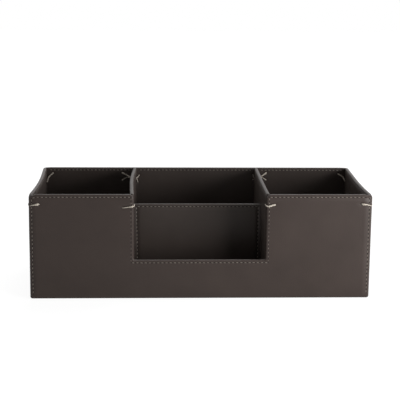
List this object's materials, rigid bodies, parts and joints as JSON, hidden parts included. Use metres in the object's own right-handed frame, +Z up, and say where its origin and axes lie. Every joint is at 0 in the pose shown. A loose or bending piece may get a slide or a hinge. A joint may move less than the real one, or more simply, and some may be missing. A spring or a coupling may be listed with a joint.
{
  "type": "desk organizer",
  "caption": "Open leather-covered desk caddy with a pencil bin at each end and a middle bay with a cut-down front, a tray and a letter slot.",
  "frame": {"origin": "On the resting plane, under the middle of the body's outline.", "axes": "+X along the width to the right, +Y towards the back wall, +Z up. The cut-down front faces -Y."},
  "size_m": [0.3586, 0.1426, 0.112],
  "materials": {
    "outer_leather": "smooth dark brown leather, semi-matt, fine grain",
    "lining_leather": "the same dark brown leather inside, a little darker and flatter",
    "floor_leather": "dark brown split leather, matt",
    "board": "dense brown fibreboard, bare",
    "pad": "dense dark felt",
    "seam_thread": "fine grey-beige polyester thread",
    "tack_thread": "thick twisted waxed linen thread, pale beige"
  },
  "bodies": {
    "root": {"base_board": "board", "base_pad": "pad", "front_board": "board", "front_leather": "outer_leather", "front_lining": "lining_leather", "back_board": "board", "back_leather": "outer_leather", "back_lining": "lining_leather", "left_side_board": "board", "left_side_leather": "outer_leather", "left_side_lining": "lining_leather", "right_side_board": "board", "right_side_leather": "outer_leather", "right_side_lining": "lining_leather", "left_partition_board": "board", "left_partition_leather": "lining_leather", "right_partition_board": "board", "right_partition_leather": "lining_leather", "divider_board": "board", "divider_leather": "lining_leather", "left_bin_floor": "floor_leather", "tray_floor": "floor_leather", "letter_slot_floor": "floor_leather", "right_bin_floor": "floor_leather", "front_seam_thread": "seam_thread", "back_seam_thread": "seam_thread", "left_side_seam_thread": "seam_thread", "right_side_seam_thread": "seam_thread", "left_partition_seam_thread": "seam_thread", "right_partition_seam_thread": "seam_thread", "divider_seam_thread": "seam_thread", "front_left_tack": "tack_thread", "front_right_tack": "tack_thread", "back_left_tack": "tack_thread", "back_right_tack": "tack_thread", "left_cut_out_tack": "tack_thread", "right_cut_out_tack": "tack_thread", "left_partition_tack": "tack_thread", "right_partition_tack": "tack_thread"}
  },
  "joints": []
}
